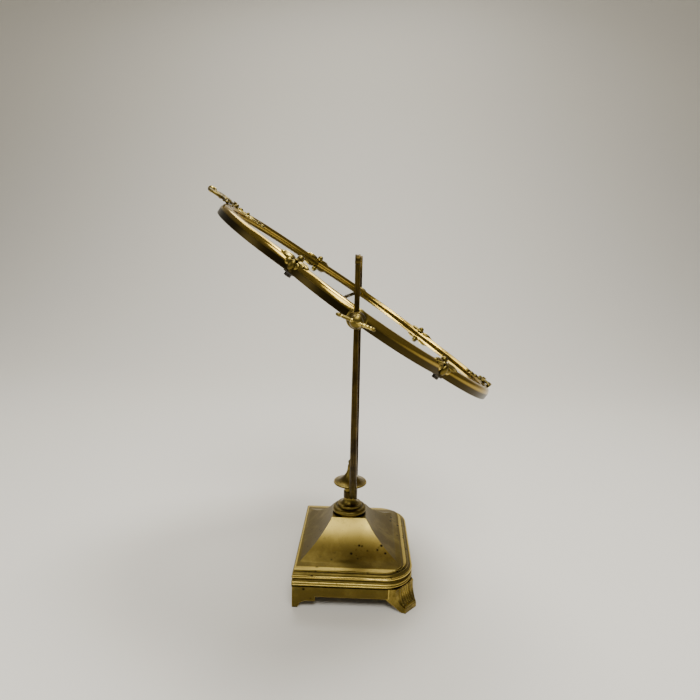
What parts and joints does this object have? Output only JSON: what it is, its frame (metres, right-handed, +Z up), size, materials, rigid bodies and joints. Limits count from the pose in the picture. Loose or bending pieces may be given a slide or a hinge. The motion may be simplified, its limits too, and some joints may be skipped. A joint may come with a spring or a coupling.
{
  "type": "table mirror on stand",
  "caption": "Table-top swing mirror: lobed brass frame on friction pivots in a harp yoke, on a turned hub and moulded hollow base.",
  "frame": {"origin": "on the table, under the middle of the whole object's box at rest", "axes": "+Z up, the front of the stand is -Y, the mirror's pivots lie along X"},
  "size_m": [0.312, 0.2794, 0.3879],
  "materials": {
    "cast_brass": "aged cast brass, dull, worn bright on its edges",
    "turned_brass": "aged turned brass, half polished",
    "yoke_brass": "dark tarnished brass",
    "rim_brass": "polished shoulder, tarnished sides",
    "ornament_brass": "cast ornament, bright on its high points",
    "sheet_brass": "dull tarnished sheet",
    "dark_steel": "blackened",
    "mirror": "silvered float glass",
    "card": "grey card"
  },
  "bodies": {
    "stand": {"base_casting": "cast_brass", "front_foot_left": "cast_brass", "front_foot_right": "cast_brass", "foot_screws": "dark_steel", "collar_ring": "turned_brass", "socket": "turned_brass", "yoke": "yoke_brass", "neck_spacer": "turned_brass", "tie_rod": "dark_steel", "rod_washer": "dark_steel", "rod_nut": "dark_steel"},
    "finial": {"bell_finial": "turned_brass", "finial_ball": "turned_brass"},
    "mirror": {"mirror_frame": "rim_brass", "mirror_glass": "mirror", "backing_card": "card", "back_plate": "sheet_brass", "clasp_upper_left": "ornament_brass", "clasp_upper_right": "ornament_brass", "clasp_lower_left": "ornament_brass", "clasp_lower_right": "ornament_brass", "back_clips": "dark_steel", "clasp_nuts": "dark_steel", "crest": "ornament_brass", "lower_ornament": "ornament_brass", "ornament_rivets": "ornament_brass", "pivot_boss_left": "turned_brass", "pivot_boss_right": "turned_brass", "pivot_screw_left": "dark_steel", "pivot_screw_right": "dark_steel", "washer_left": "turned_brass", "washer_right": "turned_brass"},
    "nut_left": {"wing_nut_left": "turned_brass"},
    "nut_right": {"wing_nut_right": "turned_brass"}
  },
  "joints": [
    {"name": "mirror_tilt", "type": "hinge", "parent": "stand", "child": "mirror", "pos_m": [0, -0.00538, 0.2806], "axis": [1, 0, 0], "range_deg": [-115, 225]},
    {"name": "finial_turn", "type": "hinge", "parent": "stand", "child": "finial", "pos_m": [0, -0.00138, 0.1], "axis": [0, 0, 1], "continuous": true},
    {"name": "nut_left_turn", "type": "hinge", "parent": "mirror", "child": "nut_left", "pos_m": [-0.15, -0.00538, 0.2806], "axis": [1, 0, 0], "continuous": true},
    {"name": "nut_right_turn", "type": "hinge", "parent": "mirror", "child": "nut_right", "pos_m": [0.15, -0.00538, 0.2806], "axis": [1, 0, 0], "continuous": true}
  ]
}
